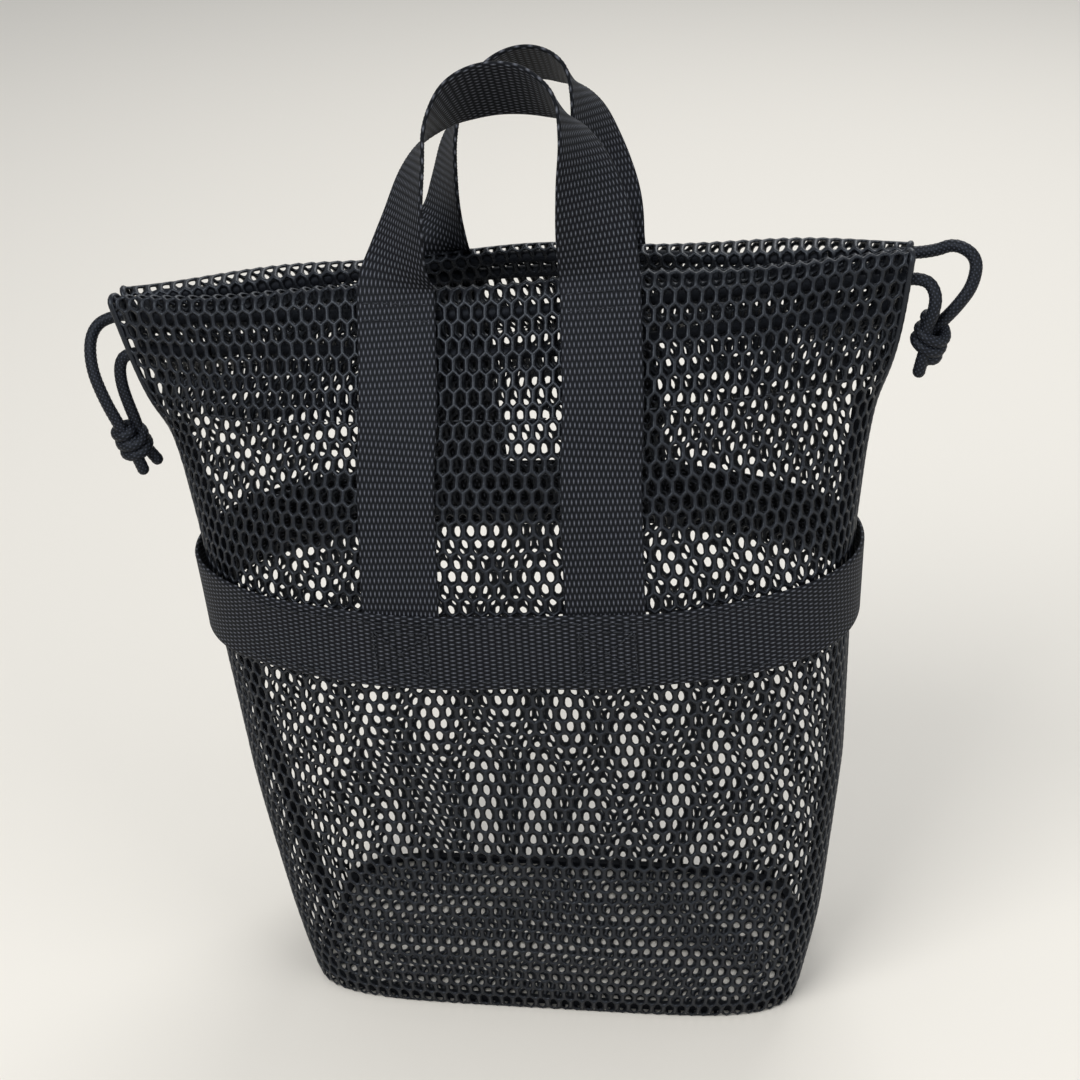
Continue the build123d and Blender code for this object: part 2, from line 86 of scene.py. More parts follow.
BAND_LOW_Z = 0.1355
BAND_HIGH_Z = 0.1605
CLOTH_T = 0.0014
WEB_T = 0.0015
LAY_GAP = 0.00015  # air between two sewn layers
STRAPS = {"front": {"left": -0.032, "right": 0.032}, "back": {"left": -0.026, "right": 0.030}}  # x of their middles
HEM_H = 0.038
HEM_END_DEPTH = 0.0091
FOLD_R = 0.0034  # of the net over the rim
FACING_OFF = 0.0072  # from the outer face to the inner layer of the hem
FACING_SETBACK = 0.0012  # of the inner layer from the bag's ends
FACING_CLEAR = 0.0006  # between the two layers where the hem is sewn down
FLAT_FROM = 0.0961  # half width at which the inner layer reaches its end depth
LANE_ZONE_H = 0.025  # from the rim down to where the layers close up

# ---------------------------------------------------------------- the shape of the cloth

# Height, half width, front depth, back depth, power across, power out, end depth, shift, share of the rim's tilt.
STATIONS = np.array([
    (0.000, 0.0855, 0.0450, 0.0450, 5.0, 5.0, 0.0, 0.0, 0.00),
    (0.030, 0.0932, 0.0528, 0.0528, 3.6, 3.6, 0.0, -0.0010, 0.00),
    (0.080, 0.1014, 0.0570, 0.0570, 2.8, 2.8, 0.0, -0.0040, 0.16),
    (0.1355, 0.1060, 0.0580, 0.0580, 2.4, 2.4, 0.0, -0.0080, 0.40),
    (0.1605, 0.1080, 0.0570, 0.0570, 2.3, 2.2, 0.0, -0.0095, 0.51),
    (0.190, 0.1125, 0.0490, 0.0500, 2.1, 1.8, 0.0, -0.0112, 0.71),
    (0.206, 0.1158, 0.0425, 0.0455, 2.0, 1.5, 0.0010, -0.0118, 0.89),
    (0.215, 0.1186, 0.0380, 0.0430, 2.0, 1.35, 0.0080, -0.0112, 1.00),
    (0.228, 0.1222, 0.0298, 0.0369, 2.0, 1.23, 0.0091, -0.0120, 1.00),
    (0.253, 0.1270, 0.0140, 0.0250, 2.0, 1.00, 0.0091, -0.0140, 1.00),
])
HEIGHTS = np.linspace(0, RIM_Z, 254)


def smoothed(values, reach=5):
    """A row of values without its kinks; its two ends stay where they are."""
    weights = np.exp(-0.5 * (np.arange(-2 * reach, 2 * reach + 1) / reach) ** 2)
    before = 2 * values[0] - values[2 * reach:0:-1]
    after = 2 * values[-1] - values[-2:-2 * reach - 2:-1]
    padded = np.concatenate([before, values, after])
    return np.convolve(padded, weights / weights.sum(), "valid")


NAMES = ("half_w", "front", "back", "across", "out", "end", "shift", "tilt")
PROFILE = {
    name: smoothed(np.interp(HEIGHTS, STATIONS[:, 0], STATIONS[:, index + 1])) for index, name in enumerate(NAMES)
}


def profile(name, p):
    """One value of the body's shape at the heights p."""
    return np.interp(p, HEIGHTS, PROFILE[name])


SLACK_DEPTH = 0.0006
SLACK_FROM_BASE = 0.03
NEAR_RIM_Z, NEAR_RIM_H = 0.21, 0.04
RIM_RIPPLE = 0.0009


def near_rim(p):
    """0 below the hem, rising to 1 just under the rim."""
    return np.clip((p - NEAR_RIM_Z) / NEAR_RIM_H, 0, 1)


def slack(side, x, p):
    """How far the loose cloth stands out of its smooth shape."""
    wave = np.sin(61 * x + 34 * p + 1.3 * side)
    wave = wave + 0.7 * np.sin(97 * x - 71 * p + 2.1) + 0.5 * np.sin(150 * x + 120 * p)
    ends = np.clip(p / SLACK_FROM_BASE, 0, 1) * (1 - near_rim(p) * 0.5)
    return SLACK_DEPTH * wave * ends


def depth_at(side, x, p):
    """Depth of the cloth's outer face at section position x and height p."""
    rest = np.clip(1 - (np.abs(x) / profile("half_w", p)) ** profile("across", p), 0, 1)
    end = profile("end", p)
    reach = rest ** (1 / profile("out", p))
    return end + (profile(side, p) - end + slack(SIDES[side], x, p)) * reach


def placed(side, x, y, p):
    """A point of a tilted section as a point in the frame."""
    tilt = RIM_TILT * profile("tilt", p)
    ripple = RIM_RIPPLE * np.sin(74 * x + SIDES[side]) * near_rim(p)
    px = profile("shift", p) + x * np.cos(tilt)
    pz = p + x * np.sin(tilt) + ripple
    return np.stack([px, SIDES[side] * y, pz], axis=-1)


FACE_STEP = 0.0008  # over which the slope of a face is taken


def on_face(side, x, p, off=0.0):
    """Points beside the outer face, off outside it, with their outward normals."""
    x, p = np.broadcast_arrays(np.asarray(x, float), np.asarray(p, float))
    here = placed(side, x, depth_at(side, x, p), p)
    limit = profile("half_w", p) - FACE_STEP
    xa, xb = np.clip(x - FACE_STEP, -limit, limit), np.clip(x + FACE_STEP, -limit, limit)
    along = placed(side, xb, depth_at(side, xb, p), p) - placed(side, xa, depth_at(side, xa, p), p)
    pa, pb = np.clip(p - FACE_STEP, 0, RIM_Z), np.clip(p + FACE_STEP, 0, RIM_Z)
    up = placed(side, x, depth_at(side, x, pb), pb) - placed(side, x, depth_at(side, x, pa), pa)
    normal = np.cross(along, up) * -SIDES[side]
    normal /= np.linalg.norm(normal, axis=-1, keepdims=True)
    return here + normal * off, normal


class Outline:
    """Where an even share u of a panel's width lies, at every height."""

    def __init__(self, side):
        self.side = side
        # Turns lie closer together at the ends and in the middle, where the outline moves fastest with them.
        half = np.linspace(0, 1, 161) ** 2.5
        half = half / (half + half[::-1]) * math.pi / 2
        self.turns = np.concatenate([half, math.pi - half[-2::-1]])
        self.shares = np.linspace(0, 1, 321)
        self.table = np.array([self.row(p) for p in HEIGHTS])

    def curve(self, turn, p):
        """Section position and depth at a turn from 0, the left end, to pi, the right one."""
        c = np.cos(math.pi - turn)
        half_w = profile("half_w", p)
        end = profile("end", p)
        x = half_w * np.sign(c) * np.abs(c) ** (2 / profile("across", p))
        bulge = np.clip(np.sin(turn), 0, 1) ** (2 / profile("out", p))
        y = end + (profile(self.side, p) - end + slack(SIDES[self.side], x, p)) * bulge
        return x, y

    def row(self, p):
        """The turns of even shares of the outline at one height."""
        x, y = self.curve(self.turns, p)
        length = np.concatenate([[0], np.cumsum(np.hypot(np.diff(x), np.diff(y)))])
        return np.interp(self.shares, length / length[-1], self.turns)

    def at(self, u, p):
        """Section position and depth of the outer face at shares u and heights p."""
        a = np.clip(u, 0, 1) * (len(self.shares) - 1)
        b = np.clip(p / RIM_Z, 0, 1) * (len(HEIGHTS) - 1)
        i = np.minimum(a.astype(int), len(self.shares) - 2)
        j = np.minimum(b.astype(int), len(HEIGHTS) - 2)
        fa, fb = a - i, b - j
        low = self.table[j, i] * (1 - fa) + self.table[j, i + 1] * fa
        high = self.table[j + 1, i] * (1 - fa) + self.table[j + 1, i + 1] * fa
        return self.curve(low * (1 - fb) + high * fb, p)


def facing_depth(side, x, p):
    """Depth of the inner layer of the hem."""
    end = HEM_END_DEPTH - FACING_OFF
    bulge = np.clip(1 - (x / FLAT_FROM) ** 2, 0, 1) ** 2
    lane = end + (profile(side, p) - FACING_OFF - end) * bulge
    close = depth_at(side, x, p) - CLOTH_T - FACING_CLEAR
    drop = RIM_Z - p
    share = np.clip((drop - LANE_ZONE_H) / (HEM_H - LANE_ZONE_H), 0, 1)
    return lane * (1 - share) + np.minimum(close, lane + 0.03) * share


class Sheet:
    """The net of one side, up the outside, over the rim and down inside the hem."""

    def __init__(self, side):
        self.side = side
        self.outline = Outline(side)
        self.turn_at = RIM_Z - FOLD_R
        self.fold_len = math.pi * FOLD_R
        self.length = self.turn_at + self.fold_len + HEM_H - FOLD_R

    def middle(self, u, q):
        """Points of the net's middle layer at shares u of its width and lengths q up it."""
        turn = np.clip((q - self.turn_at) / self.fold_len, 0, 1)
        rising = self.turn_at + FOLD_R * np.sin(math.pi * turn)
        inside = self.turn_at - (q - self.turn_at - self.fold_len)
        p = np.where(q < self.turn_at, q, np.where(turn < 1, rising, inside))
        p = np.clip(p, 0, RIM_Z)
        x, y = self.outline.at(u, p)
        half_w = profile("half_w", p)
        inner_x = x * (half_w - FACING_SETBACK) / half_w
        inward = (1 - np.cos(math.pi * turn)) / 2
        y = y * (1 - inward) + facing_depth(self.side, inner_x, p) * inward
        x = x * (1 - inward) + inner_x * inward
        return placed(self.side, x, y, p)

    def point(self, u, q, off):
        """Points of the net at shares u of its width and lengths q up it, off outside its middle."""
        du, dq = 0.004, 0.0006
        ua, ub = np.clip(u - du, 0, 1), np.clip(u + du, 0, 1)
        qa, qb = np.clip(q - dq, 0.0001, self.length), np.clip(q + dq, 0.0001, self.length)
        along = self.middle(ub, q) - self.middle(ua, q)
        up = self.middle(u, qb) - self.middle(u, qa)
        normal = np.cross(along, up) * -SIDES[self.side]
        normal /= np.maximum(np.linalg.norm(normal, axis=-1, keepdims=True), 1e-12)
        return self.middle(u, q) + normal * np.asarray(off)[..., None]


# ---------------------------------------------------------------- mesh helpers


def new_piece(name, verts, faces, material, uvs=None):
    """A smooth-shaded object from points and faces, with one UV pair for each face corner if given."""
    mesh = bpy.data.meshes.new(name)
    mesh.from_pydata([tuple(v) for v in verts], [], [tuple(f) for f in faces])
    if uvs is not None:
        layer = mesh.uv_layers.new(name="UVMap")
        layer.data.foreach_set("uv", np.asarray(uvs, np.float32).ravel())
    mesh.materials.append(material)
    mesh.shade_smooth()
    piece = bpy.data.objects.new(name, mesh)
    bpy.context.scene.collection.objects.link(piece)
    return piece


def face_outwards(piece):
    """Turn all faces of a closed mesh outwards."""
    bm = bmesh.new()
    bm.from_mesh(piece.data)
    bmesh.ops.recalc_face_normals(bm, faces=bm.faces)
    bm.to_mesh(piece.data)
    bm.free()


# The corners of a cell and the middles of its edges, in quarter widths and sixths of a row, going round it.
CELL = ((0, 4), (1, 3), (2, 2), (2, 0), (2, -2), (1, -3), (0, -4), (-1, -3), (-2, -2), (-2, 0), (-2, 2), (-1, 3))
CORNERS = {(0, 4), (0, -4), (2, 2), (-2, 2), (2, -2), (-2, -2)}
HOLE = (1.17, 2.68)  # half width and half height of a hole, in the same units
STRAND_AT_CORNER = 1.12  # thickness against that of a strand's middle
STRAND_AT_BORDER = 0.6
WANDER = (0.05, 0.09)  # how far the knitting strays, in the same units


def net_mesh(cells, half_t, place):
    """Points and faces of a net of staggered holes.

    cells are lattice centres, and place(x, y, off) gives the points of lattice places, off outside
    the middle of the cloth.
    """
    uses = {}
    for cx, cy in cells:
        ring = [(cx + dx, cy + dy) for dx, dy in CELL]
        for a, b in zip(ring, ring[1:] + ring[:1]):
            uses[frozenset((a, b))] = uses.get(frozenset((a, b)), 0) + 1
    border_edges = {edge for edge, count in uses.items() if count == 1}
    border = {key for edge in border_edges for key in edge}
    spots, outer, inner = [], {}, {}

    def add_spot(x, y, off):
        spots.append((x, y, off))
        return len(spots) - 1

    faces = []
    for cx, cy in cells:
        rim = []
        for dx, dy in CELL:
            key = (cx + dx, cy + dy)
            if key not in outer:
                size = STRAND_AT_CORNER if (dx, dy) in CORNERS else 1.0
                if key in border:
                    size = STRAND_AT_BORDER
                outer[key] = add_spot(*key, half_t * size)
                inner[key] = add_spot(*key, -half_t * size)
            angle = math.atan2(dy * 0.83, dx * 1.13)
            rim.append((key, add_spot(cx + HOLE[0] * math.cos(angle), cy + HOLE[1] * math.sin(angle), 0.0)))
        for (key_a, hole_a), (key_b, hole_b) in zip(rim, rim[1:] + rim[:1]):
            faces.append((outer[key_a], outer[key_b], hole_b, hole_a))
            faces.append((inner[key_b], inner[key_a], hole_a, hole_b))
            if frozenset((key_a, key_b)) in border_edges:
                faces.append((outer[key_b], outer[key_a], inner[key_a], inner[key_b]))
    spots = np.array(spots)
    wander = np.random.default_rng(7).normal(0, 1, (len(spots), 2)) * WANDER
    return place(spots[:, 0] + wander[:, 0], spots[:, 1] + wander[:, 1], spots[:, 2]), faces


def path_line(points):
    """Points along the smooth curve that has these control points."""
    curve = bpy.data.curves.new("route", "CURVE")
    curve.dimensions = "3D"
    curve.resolution_u = 24
    spline = curve.splines.new("NURBS")
    spline.points.add(len(points) - 1)
    for spot, point in zip(spline.points, points):
        spot.co = (*point, 1.0)
    spline.order_u = 3
    spline.use_endpoint_u = True
    holder = bpy.data.objects.new("route", curve)
    mesh = bpy.data.meshes.new_from_object(holder)
    line = np.array([v.co for v in mesh.vertices])
    bpy.data.meshes.remove(mesh)
    bpy.data.objects.remove(holder)
    bpy.data.curves.remove(curve)
    return line


def even(line, step, *also):
    """A row of points again, about step apart, with other rows carried along, and the lengths at them."""
    line = np.asarray(line, float)
    length = np.concatenate([[0], np.cumsum(np.linalg.norm(np.diff(line, axis=0), axis=1))])
    at = np.linspace(0, length[-1], max(3, round(length[-1] / step) + 1))
    rows = [np.stack([np.interp(at, length, row[:, k]) for k in range(3)], axis=1) for row in (line, *also)]
    return (at, *rows)


def unit(rows):
    return rows / np.maximum(np.linalg.norm(rows, axis=-1, keepdims=True), 1e-12)


RIB = 0.0021  # length of one rib of the webbing, which is one row of its dashes
RIB_RELIEF = 0.14  # share of the thickness
# Places across the webbing, from edge to edge, closer together where the beads are.
ACROSS = np.array([-1, -0.985, -0.93, -0.88, -0.8, -0.6, -0.4, -0.2, 0, 0.2, 0.4, 0.6, 0.8, 0.88, 0.93, 0.985, 1])
EDGE_FROM = 0.86


def ribbon(name, line, across, width, material, closed=False):
    """Woven webbing along a row of middles, with its ribs and beaded edges as real relief."""
    at, middle, side = even(line, RIB / 4, np.asarray(across, float))
    ahead = np.gradient(middle, axis=0)
    if closed:
        ahead[0] = ahead[-1] = middle[1] - middle[-2]
    ahead = unit(ahead)
    side = unit(side - ahead * (side * ahead).sum(1, keepdims=True))
    normal = np.cross(ahead, side)
    edge = np.clip((np.abs(ACROSS) - EDGE_FROM) / (1 - EDGE_FROM), 0, 1)
    bead = np.sin(math.pi * edge) ** 2
    body = np.where(np.abs(ACROSS) >= 1, 0.30, np.where(np.abs(ACROSS) > 0.97, 0.72, 1.0))
    wave = 0.5 - 0.5 * np.cos(2 * math.pi * at / RIB)
    fine = 0.5 - 0.5 * np.cos(2 * math.pi * at / (RIB / 2))
    relief = RIB_RELIEF * (wave[:, None] * (1 - edge) + bead * fine[:, None])
    rise = normal[:, None] * (WEB_T / 2 * body[None] * (1 - RIB_RELIEF + relief))[..., None]
    flat = middle[:, None] + side[:, None] * (ACROSS * width / 2)[None, :, None]
    ring = np.concatenate([flat + rise, (flat - rise)[:, ::-1]], axis=1)
    w = np.concatenate([ACROSS, ACROSS[::-1]]) * width / 2
    rows, around = ring.shape[:2]
    last = rows - 1
    faces, uvs = [], []
    for i in range(last):
        low, high = i * around, (i + 1) * around
        for k in range(around):
            m = (k + 1) % around
            faces.append((low + k, low + m, high + m, high + k))
            uvs += [(at[i], w[k]), (at[i], w[m]), (at[i + 1], w[m]), (at[i + 1], w[k])]
    if closed:
        ring[last] = ring[0]
    else:
        for i in (0, last):
            for k in range(len(ACROSS) - 1):
                quad = (k, k + 1, around - 2 - k, around - 1 - k)[::1 if i else -1]
                faces.append(tuple(i * around + n for n in quad))
                uvs += [(at[i], w[n]) for n in quad]
    piece = new_piece(name, ring.reshape(-1, 3), faces, material, [(u / MM, v / MM) for u, v in uvs])
    if closed:
        bm = bmesh.new()
        bm.from_mesh(piece.data)
        bmesh.ops.remove_doubles(bm, verts=bm.verts, dist=1e-6)
        bm.to_mesh(piece.data)
        bm.free()
    face_outwards(piece)
    return piece


BRAID_RELIEF = 0.10  # share of the radius
BRAID_TWIST = 1900.0  # radians a metre
BRAID_LOBES = 4


def tube_rings(line, radius, step, around, round_ends):
    """Rings of a braided cord along a line, the lengths along it and its middles."""
    at, middle = even(line, step)
    ahead = unit(np.gradient(middle, axis=0))
    guide = np.array((0.0, 1.0, 0.0)) if abs(ahead[0, 1]) < 0.9 else np.array((1.0, 0.0, 0.0))
    rings = []
    side = np.cross(ahead[0], guide)
    angles = np.linspace(0, 2 * math.pi, around, endpoint=False)
    total = at[-1]
    for s, centre, forward in zip(at, middle, ahead):
        side = side - forward * side.dot(forward)
        side /= np.linalg.norm(side)
        up = np.cross(forward, side)
        ribs = sum(np.abs(np.sin(BRAID_LOBES * angles + way * BRAID_TWIST * s)) * 0.6 for way in (1, -1))
        r = radius * (1 - BRAID_RELIEF + BRAID_RELIEF * ribs)
        for at_end, gap in ((round_ends[0], s), (round_ends[1], total - s)):
            if at_end and gap < radius:
                r = r * math.sqrt(max(0.02, 1 - (1 - gap / radius) ** 2))
        rings.append(centre + np.outer(np.cos(angles) * r, side) + np.outer(np.sin(angles) * r, up))
    return np.array(rings), at, middle


def tube_faces(base, rings, around):
    """The side faces of a tube whose points start at base, ring by ring."""
    faces = []
    for low in range(base, base + (rings - 1) * around, around):
        for k in range(around):
            m = (k + 1) % around
            faces.append((low + k, low + m, low + around + m, low + around + k))
    return faces


def braided(name, lines, radius, material, step=0.00035, around=28, round_ends=(False, True)):
    """One or more braided cords as one mesh; also gives the ring centres of the last."""
    verts, faces, uvs, middle = [], [], [], None
    for line in lines:
        rings, at, middle = tube_rings(line, radius, step, around, round_ends)
        base = len(verts)
        verts += list(rings.reshape(-1, 3))
        faces += tube_faces(base, len(rings), around)
        for a, b in zip(at, at[1:]):
            for k in range(around):
                uvs += [(a / MM, k / around), (a / MM, (k + 1) / around),
                        (b / MM, (k + 1) / around), (b / MM, k / around)]
        for i in (0, len(rings) - 1):
            order = range(around) if i else range(around - 1, -1, -1)
            faces.append(tuple(base + i * around + k for k in order))
            uvs += [(at[i] / MM, k / around) for k in order]
    piece = new_piece(name, verts, faces, material, uvs)
    face_outwards(piece)
    return piece, middle


STITCH_LEN, STITCH_GAP = 0.0024, 0.0009
STITCH_W, STITCH_H = 0.00062, 0.0005
STITCH_SHAPE = ((-0.5, 0.35), (-0.36, 0.9), (0.0, 1.0), (0.36, 0.9), (0.5, 0.35))  # place along it, size there


def stitches(name, rows, material):
    """Rows of single stitches: each row is a pair of points and outward normals along it."""
    verts, faces = [], []
    around = 8
    for points, normals in rows:
        _, line, up = even(points, STITCH_LEN + STITCH_GAP, normals)
        for a, b, n in zip(line, line[1:], up):
            ahead = b - a
            pitch = np.linalg.norm(ahead)
            ahead = ahead / pitch
            side = np.cross(n, ahead)
            middle = (a + b) / 2
            base = len(verts)
            for share, size in STITCH_SHAPE:
                centre = middle + ahead * share * (pitch - STITCH_GAP) - n * (1 - size) * STITCH_H * 0.6
                for k in range(around):
                    angle = 2 * math.pi * k / around
                    verts.append(centre + side * math.cos(angle) * size * STITCH_W / 2
                                 + n * math.sin(angle) * size * STITCH_H / 2)
            faces += tube_faces(base, len(STITCH_SHAPE), around)
            faces.append(tuple(base + k for k in range(around - 1, -1, -1)))
            top = base + (len(STITCH_SHAPE) - 1) * around
            faces.append(tuple(top + k for k in range(around)))
    piece = new_piece(name, verts, faces, material)
    face_outwards(piece)
    return piece


# ---------------------------------------------------------------- shader node helpers


def group_of(name, inputs, outputs, build):
    """A shader node group, made once: inputs and outputs are (name, socket type, default)."""
    if name in bpy.data.node_groups:
        return bpy.data.node_groups[name]
    tree = bpy.data.node_groups.new(name, "ShaderNodeTree")
    for label, kind, default in inputs:
        tree.interface.new_socket(name=label, in_out="INPUT", socket_type=kind).default_value = default
    for label, kind in outputs:
        tree.interface.new_socket(name=label, in_out="OUTPUT", socket_type=kind)
    source = tree.nodes.new("NodeGroupInput")
    result = tree.nodes.new("NodeGroupOutput")
    build(tree, source, result)
    return tree


def maths(tree, operation, a, b=None, clamp=False):
    """A maths node whose inputs are sockets or numbers; gives its output."""
    node = tree.nodes.new("ShaderNodeMath")
    node.operation = operation
    node.use_clamp = clamp
    for index, value in enumerate((a, b)):
        if value is None:
            continue
        if isinstance(value, bpy.types.NodeSocket):
            tree.links.new(value, node.inputs[index])
        else:
            node.inputs[index].default_value = value
    return node.outputs[0]


def fibre_group():
    """Fine fibres and slow dye changes: a value for colour and a height for relief."""

    def build(tree, source, result):
        place = tree.nodes.new("ShaderNodeTexCoord")
        fine = tree.nodes.new("ShaderNodeTexNoise")
        fine.inputs["Detail"].default_value = 3.0
        slow = tree.nodes.new("ShaderNodeTexNoise")
        slow.inputs["Scale"].default_value = 28.0
        tree.links.new(place.outputs["Object"], fine.inputs["Vector"])
        tree.links.new(place.outputs["Object"], slow.inputs["Vector"])
        tree.links.new(source.outputs["Scale"], fine.inputs["Scale"])
        shade = maths(tree, "ADD", maths(tree, "MULTIPLY", fine.outputs["Fac"], 0.7),
                      maths(tree, "MULTIPLY", slow.outputs["Fac"], 0.5))
        tree.links.new(maths(tree, "SUBTRACT", shade, 0.1, True), result.inputs["Shade"])
        relief = maths(tree, "MULTIPLY", fine.outputs["Fac"], source.outputs["Relief"])
        tree.links.new(relief, result.inputs["Height"])

    return group_of(
        "Fibres",
        [("Scale", "NodeSocketFloat", 900.0), ("Relief", "NodeSocketFloat", 1.0)],
        [("Shade", "NodeSocketFloat"), ("Height", "NodeSocketFloat")],
        build,
    )


def dash_group():
    """Rows of short dashes, every second row half a dash along, from a UV place in millimetres."""

    def build(tree, source, result):
        split = tree.nodes.new("ShaderNodeSeparateXYZ")
        place = tree.nodes.new("ShaderNodeUVMap")
        tree.links.new(place.outputs["UV"], split.inputs[0])
        row = maths(tree, "DIVIDE", split.outputs["X"], source.outputs["Row"])
        odd = maths(tree, "FLOORED_MODULO", maths(tree, "FLOOR", row), 2.0)
        column = maths(tree, "ADD", maths(tree, "DIVIDE", split.outputs["Y"], source.outputs["Spacing"]),
                       maths(tree, "MULTIPLY", odd, 0.5))
        off_row = maths(tree, "ABSOLUTE", maths(tree, "SUBTRACT", maths(tree, "FRACT", row), 0.5))
        off_column = maths(tree, "ABSOLUTE", maths(tree, "SUBTRACT", maths(tree, "FRACT", column), 0.5))
        narrow = maths(tree, "SUBTRACT", 1.0, maths(tree, "MULTIPLY", off_column, source.outputs["Narrow"]), True)
        short = maths(tree, "SUBTRACT", 1.0, maths(tree, "MULTIPLY", off_row, source.outputs["Short"]), True)
        tree.links.new(maths(tree, "MULTIPLY", narrow, short), result.inputs["Mask"])

    return group_of(
        "Dashes",
        [("Row", "NodeSocketFloat", 2.1), ("Spacing", "NodeSocketFloat", 1.4),
         ("Narrow", "NodeSocketFloat", 4.5), ("Short", "NodeSocketFloat", 2.2)],
        [("Mask", "NodeSocketFloat")],
        build,
    )


SHEEN_TINT = (0.80, 0.88, 1.0, 1.0)


def cloth_material(name, dark, light, roughness, gloss, scale, relief, dashes=None, painted_dash_highlight=0.0, dash_bump=0.0):
    """Black textile: dyed fibres, and the dashes of a weave or braid where they are given as (row, spacing), where a
    painted highlight lifts the base colour towards the light colour.
    """
    if name in bpy.data.materials:
        return bpy.data.materials[name]
    material = bpy.data.materials.new(name)
    material.use_nodes = True
    tree = material.node_tree
    shader = tree.nodes["Principled BSDF"]
    shader.inputs["Roughness"].default_value = roughness
    shader.inputs["Specular IOR Level"].default_value = gloss
    shader.inputs["Specular Tint"].default_value = SHEEN_TINT
    fibres = tree.nodes.new("ShaderNodeGroup")
    fibres.node_tree = fibre_group()
    fibres.inputs["Scale"].default_value = scale
    fibres.inputs["Relief"].default_value = relief
    mix = tree.nodes.new("ShaderNodeMix")
    mix.data_type = "RGBA"
    mix.inputs["A"].default_value = (*dark, 1.0)
    mix.inputs["B"].default_value = (*light, 1.0)
    height = fibres.outputs["Height"]
    shade = fibres.outputs["Shade"]
    if dashes:
        weave = tree.nodes.new("ShaderNodeGroup")
        weave.node_tree = dash_group()
        weave.inputs["Row"].default_value = dashes[0]
        weave.inputs["Spacing"].default_value = dashes[1]
        # Painted highlight: the dash mask lifts the base colour towards the light colour in place of glints on the yarn
        # crowns; the same mask also gives the dashes real relief through the bump.
        painted_highlight = maths(tree, "MULTIPLY", weave.outputs["Mask"], painted_dash_highlight)
        shade = maths(tree, "ADD", maths(tree, "MULTIPLY", shade, 0.035), painted_highlight, True)
        height = maths(tree, "ADD", height, maths(tree, "MULTIPLY", weave.outputs["Mask"], dash_bump))
    tree.links.new(shade, mix.inputs["Factor"])
    tree.links.new(mix.outputs["Result"], shader.inputs["Base Color"])
    bump = tree.nodes.new("ShaderNodeBump")
    bump.inputs["Strength"].default_value = 0.6
    bump.inputs["Distance"].default_value = 0.0002
    tree.links.new(height, bump.inputs["Height"])
    tree.links.new(bump.outputs["Normal"], shader.inputs["Normal"])
    return material


def net_yarn():
    look = bpy.context.scene.mesh_tote.net
    return cloth_material("net_yarn", look.dark, look.light, 0.40, 0.42, 1400.0, 1.0)


def webbing_yarn():
    look = bpy.context.scene.mesh_tote.webbing
    # The 0.75 is the strength of the painted highlight at the dashes.
    return cloth_material("webbing_yarn", look.dark, look.light, 0.62, 0.12, 1600.0, 0.5, (RIB / MM, 1.4), 0.75, 1.6)


def cord_braid():
    look = bpy.context.scene.mesh_tote.cord
    # The 0.5 is the strength of the painted sheen along the braid's dashes.
    return cloth_material("cord_braid", look.dark, look.light, 0.5, 0.22, 1800.0, 0.8, (0.83, 0.125), 0.5, 1.2)


def plain_cord():
    look = bpy.context.scene.mesh_tote.cord
    # The cords inside the hem take the braid's painted sheen colour at a tenth as their lighter tone, mixed by fibre
    # noise alone.
    shaded = [value * 0.1 for value in look.light]
    return cloth_material("cord_in_channel", look.dark, shaded, 0.6, 0.15, 1200.0, 1.5)


def sewing_thread():
    look = bpy.context.scene.mesh_tote.webbing
    # The thread's lighter tone is the webbing's painted highlight colour at 0.12, mixed by fibre noise alone.
    duller = [value * 0.12 for value in look.light]
    return cloth_material("sewing_thread", look.dark, duller, 0.4, 0.3, 2200.0, 0.4)


def binding_tape():
    look = bpy.context.scene.mesh_tote.net
    return cloth_material("binding_tape", look.dark, look.light, 0.7, 0.15, 1100.0, 1.2)


# ---------------------------------------------------------------- settings


def colour(label, note, value):
    return bpy.props.FloatVectorProperty(
        name=label, description=note, default=value, size=3, min=0.0, max=1.0, subtype="COLOR"
    )


def distance(label, note, value):
    return bpy.props.FloatProperty(name=label, description=note, default=value, min=0.0, unit="LENGTH", precision=5)


class NetSettings(bpy.types.PropertyGroup):
    columns: bpy.props.IntProperty(name="Holes across", description="Holes across the front or back", default=60, min=8)
    spacing: distance("Hole spacing", "Distance between two holes of a row of the base", 0.00445)
    row_pitch: distance("Row pitch", "Distance between two rows of holes", 0.0047)
    thickness: distance("Thickness", "Thickness of the knitted strands", 0.00105)
    dark: colour("Dark", "Colour in the hollows of the yarn", (0.0018, 0.0019, 0.0024))
    light: colour("Light", "Colour on the crowns of the yarn", (0.0075, 0.0085, 0.0120))


class WebbingSettings(bpy.types.PropertyGroup):
    width: distance("Width", "Width of the webbing", 0.025)
    dark: colour("Dark", "Colour between the yarns", (0.0016, 0.0017, 0.0021))
    # Painted highlight: this blue-grey is laid into the base colour at the weave's dashes; the webbing's own colour is
    # the near-black dark.
    light: colour("Light", "Colour on the yarns", (0.205, 0.218, 0.258))


class CordSettings(bpy.types.PropertyGroup):
    diameter: distance("Diameter", "Diameter of the drawcords", 0.004)
    dark: colour("Dark", "Colour between the braid's strands", (0.0016, 0.0018, 0.0024))
    # Painted sheen: this blue-grey is laid into the base colour along the braid's dashes; the cord's own colour is the
    # near-black dark.
    light: colour("Light", "Colour on the braid's strands", (0.10, 0.115, 0.16))


class StageSettings(bpy.types.PropertyGroup):
    floor: colour("Floor", "Colour of the floor", (0.78, 0.745, 0.68))
    key: bpy.props.FloatProperty(name="Key light", description="Power of the main light", default=15.0, unit="POWER")


class ToteSettings(bpy.types.PropertyGroup):
    net: bpy.props.PointerProperty(type=NetSettings)
    webbing: bpy.props.PointerProperty(type=WebbingSettings)
    cord: bpy.props.PointerProperty(type=CordSettings)
    stage: bpy.props.PointerProperty(type=StageSettings)


# ---------------------------------------------------------------- operators


ROLLED_EDGE_R = 0.00105
BASE_MARGIN = 0.0006


